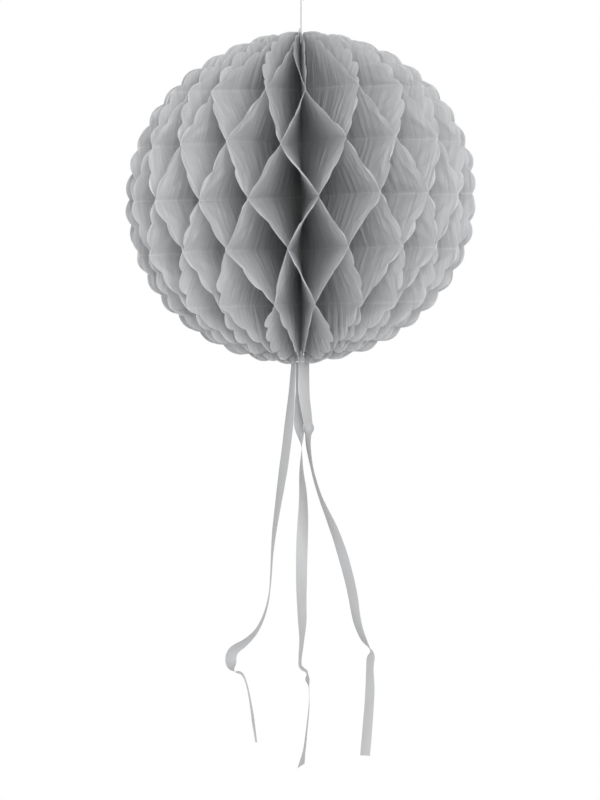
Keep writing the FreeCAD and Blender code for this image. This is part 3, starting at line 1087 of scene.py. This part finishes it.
def ribbon_piece(node, rng):
    """A ribbon: a flat width carried along its route and turned about it.

    Its turn at each point is taken from the route's points in proportion to the way
    between them, and its middle stands proud of its edges by a small arch. Each lengthwise
    line ends a little sooner than the one on its left, so the end is cut on a slant.
    """
    ribbon = settings("ribbon")
    route = np.array(RIBBON_ROUTES[node], float)
    places = BALL + route[:, :3] / 1000
    line = spaced(spline_points(places), 300)
    spots = np.array([np.linalg.norm(line - place, axis=1).argmin() for place in places])
    spots = np.maximum.accumulate(spots)
    turn = np.radians(np.interp(np.arange(len(line)), spots, route[:, 3]))
    turn = np.convolve(np.pad(turn, 2, "edge"), np.ones(5) / 5, "valid")[:, None]
    along = directions(line)
    sideways = np.cross(along, (0.0, 1.0, 0.0))
    sideways = sideways / np.linalg.norm(sideways, axis=1, keepdims=True)
    across = sideways * np.cos(turn) + np.cross(sideways, along) * np.sin(turn)
    face = np.cross(along, across)
    columns = np.array([-1, -0.985, -0.93, -0.7, -0.35, 0, 0.35, 0.7, 0.93, 0.985, 1])
    length = along_line(line)
    cut = 1 - END_SLANTS[node] / length[-1] * (columns + 1) / 2
    at = length[:, None] * cut[None, :]
    arch = RIBBON_ARCH * (1 - columns**2) * (1 + 0.5 * np.sin(at * 60))
    ripple = waves(rng, at, columns[None, :], (0.02, 0.06), (3.0, 6.0), 4)
    centre, side, front = (read_along(part, length, at) for part in (line, across, face))
    out = columns[None, :, None] * ribbon.width / 2
    surface = centre + side * out + front * (arch + RIBBON_RIPPLE * ripple)[..., None]
    half = facing(surface) * ribbon.thickness / 2
    uv = np.stack([np.broadcast_to(columns * ribbon.width / 2, at.shape), at], axis=-1)
    edge = np.broadcast_to(np.clip((np.abs(columns) - FIRM_EDGE) / 0.05, 0, 1), at.shape)
    piece = thin_solid(f"{node}_satin", surface + half, surface - half, uv, {"edge": edge})
    return piece, line


class HONEYCOMB_OT_ribbons(bpy.types.Operator):
    """Make the three ribbons that hang from the knot"""

    bl_idname = "honeycomb.ribbons"
    bl_label = "Ribbons"

    def execute(self, context):
        material = ribbon_material()
        for seed, node in enumerate(RIBBON_ROUTES):
            piece, line = ribbon_piece(node, np.random.default_rng(7 + seed))
            settings("ribbon").width
            fit(piece, node, material)
        return {"FINISHED"}


# ------------------------------------------------------------ the studio

# The white surroundings' brightness by height, from straight down at -1 to straight up.
SURROUNDINGS = [(-1.0, 0.75), (-0.5, 0.8), (-0.2, 1.0), (0.2, 1.0), (0.5, 0.9), (1.0, 0.9)]
FLOOR_REACH = (-1.6, 1.6)


def area_light(name, place, target, size, power):
    """A square light at a place, turned to a target."""
    data = bpy.data.lights.new(name, "AREA")
    data.shape = "SQUARE"
    data.size = size
    data.energy = power
    light = bpy.data.objects.new(name, data)
    bpy.context.scene.collection.objects.link(light)
    light.location = place
    light.rotation_euler = (Vector(target) - Vector(place)).to_track_quat("-Z", "Y").to_euler()
    return light


class HONEYCOMB_OT_camera(bpy.types.Operator):
    """Make the camera, level and far off, a little below the ball"""

    bl_idname = "honeycomb.camera"
    bl_label = "Camera"

    def execute(self, context):
        studio = settings("studio")
        data = bpy.data.cameras.new("camera")
        data.sensor_width = 36.0
        data.lens = data.sensor_width * studio.distance / studio.frame_height
        data.clip_end = 100.0
        camera = bpy.data.objects.new("camera", data)
        context.scene.collection.objects.link(camera)
        camera.location = (-studio.aside, -studio.distance, BALL[2] - studio.below)
        camera.rotation_euler = (math.pi / 2, 0.0, 0.0)
        context.scene.camera = camera
        return {"FINISHED"}


class HONEYCOMB_OT_studio(bpy.types.Operator):
    """Make the pale floor, the white surroundings and the soft light"""

    bl_idname = "honeycomb.studio"
    bl_label = "Studio"

    def execute(self, context):
        studio = settings("studio")
        side, away = np.meshgrid(FLOOR_REACH, FLOOR_REACH)
        level = np.full_like(side, -studio.floor_drop)
        points = np.stack([side, away, level], axis=-1).reshape(-1, 3)
        floor = make_object("floor", points, grid_quads(2, 2), points[:, :2])
        make = Nodes("pale_floor")
        face = make.add("ShaderNodeBsdfPrincipled", {"Base Color": grey(0.86), "Roughness": 0.9})
        floor.data.materials.append(make.finish(face.outputs[0]))

        world = bpy.data.worlds.new("studio")
        context.scene.world = world
        world.use_nodes = True
        tree = world.node_tree
        where = tree.nodes.new("ShaderNodeTexCoord")
        split = tree.nodes.new("ShaderNodeSeparateXYZ")
        ramp = tree.nodes.new("ShaderNodeFloatCurve")
        tree.links.new(where.outputs["Generated"], split.inputs[0])
        tree.links.new(split.outputs["Z"], ramp.inputs["Value"])
        curve = ramp.mapping.curves[0]
        ramp.mapping.use_clip = False
        curve.points[0].location = SURROUNDINGS[0]
        curve.points[1].location = SURROUNDINGS[-1]
        for point in SURROUNDINGS[1:-1]:
            curve.points.new(*point)
        for point in curve.points:
            point.handle_type = "VECTOR"
        ramp.mapping.update()
        tree.links.new(ramp.outputs[0], tree.nodes["Background"].inputs["Strength"])
        tree.nodes["Background"].inputs["Color"].default_value = (1.0, 1.0, 1.0, 1.0)
        area_light("key", studio.light_place, tuple(BALL), studio.light_size, studio.light_power)
        context.scene.view_settings.view_transform = "Standard"
        return {"FINISHED"}


# ------------------------------------------------------------ the add-on

STEPS = ("camera", "string", "ribbons", "knots", "sheets", "tapes", "studio")


class HONEYCOMB_PT_panel(bpy.types.Panel):
    """The ball's steps, in order"""

    bl_idname = "HONEYCOMB_PT_panel"
    bl_label = "Paper Honeycomb Ball"
    bl_space_type = "VIEW_3D"
    bl_region_type = "UI"
    bl_category = "Honeycomb"

    def draw(self, context):
        for step in STEPS:
            self.layout.operator(f"honeycomb.{step}")
        for group in SETTINGS:
            chosen = settings(group)
            box = self.layout.box()
            for name in chosen.__annotations__:
                box.prop(chosen, name)


CLASSES = (
    *SETTINGS.values(),
    HONEYCOMB_OT_camera,
    HONEYCOMB_OT_string,
    HONEYCOMB_OT_ribbons,
    HONEYCOMB_OT_knots,
    HONEYCOMB_OT_sheets,
    HONEYCOMB_OT_tapes,
    HONEYCOMB_OT_studio,
    HONEYCOMB_PT_panel,
)


def register():
    for each in CLASSES:
        bpy.utils.register_class(each)
    for group, kind in SETTINGS.items():
        setattr(bpy.types.Scene, f"honeycomb_{group}", PointerProperty(type=kind))


def unregister():
    for group in SETTINGS:
        delattr(bpy.types.Scene, f"honeycomb_{group}")
    for each in reversed(CLASSES):
        bpy.utils.unregister_class(each)


def main():
    """Makes everything in order."""
    register()
    for step in STEPS:
        getattr(bpy.ops.honeycomb, step)()


if __name__ == "__main__":
    main()
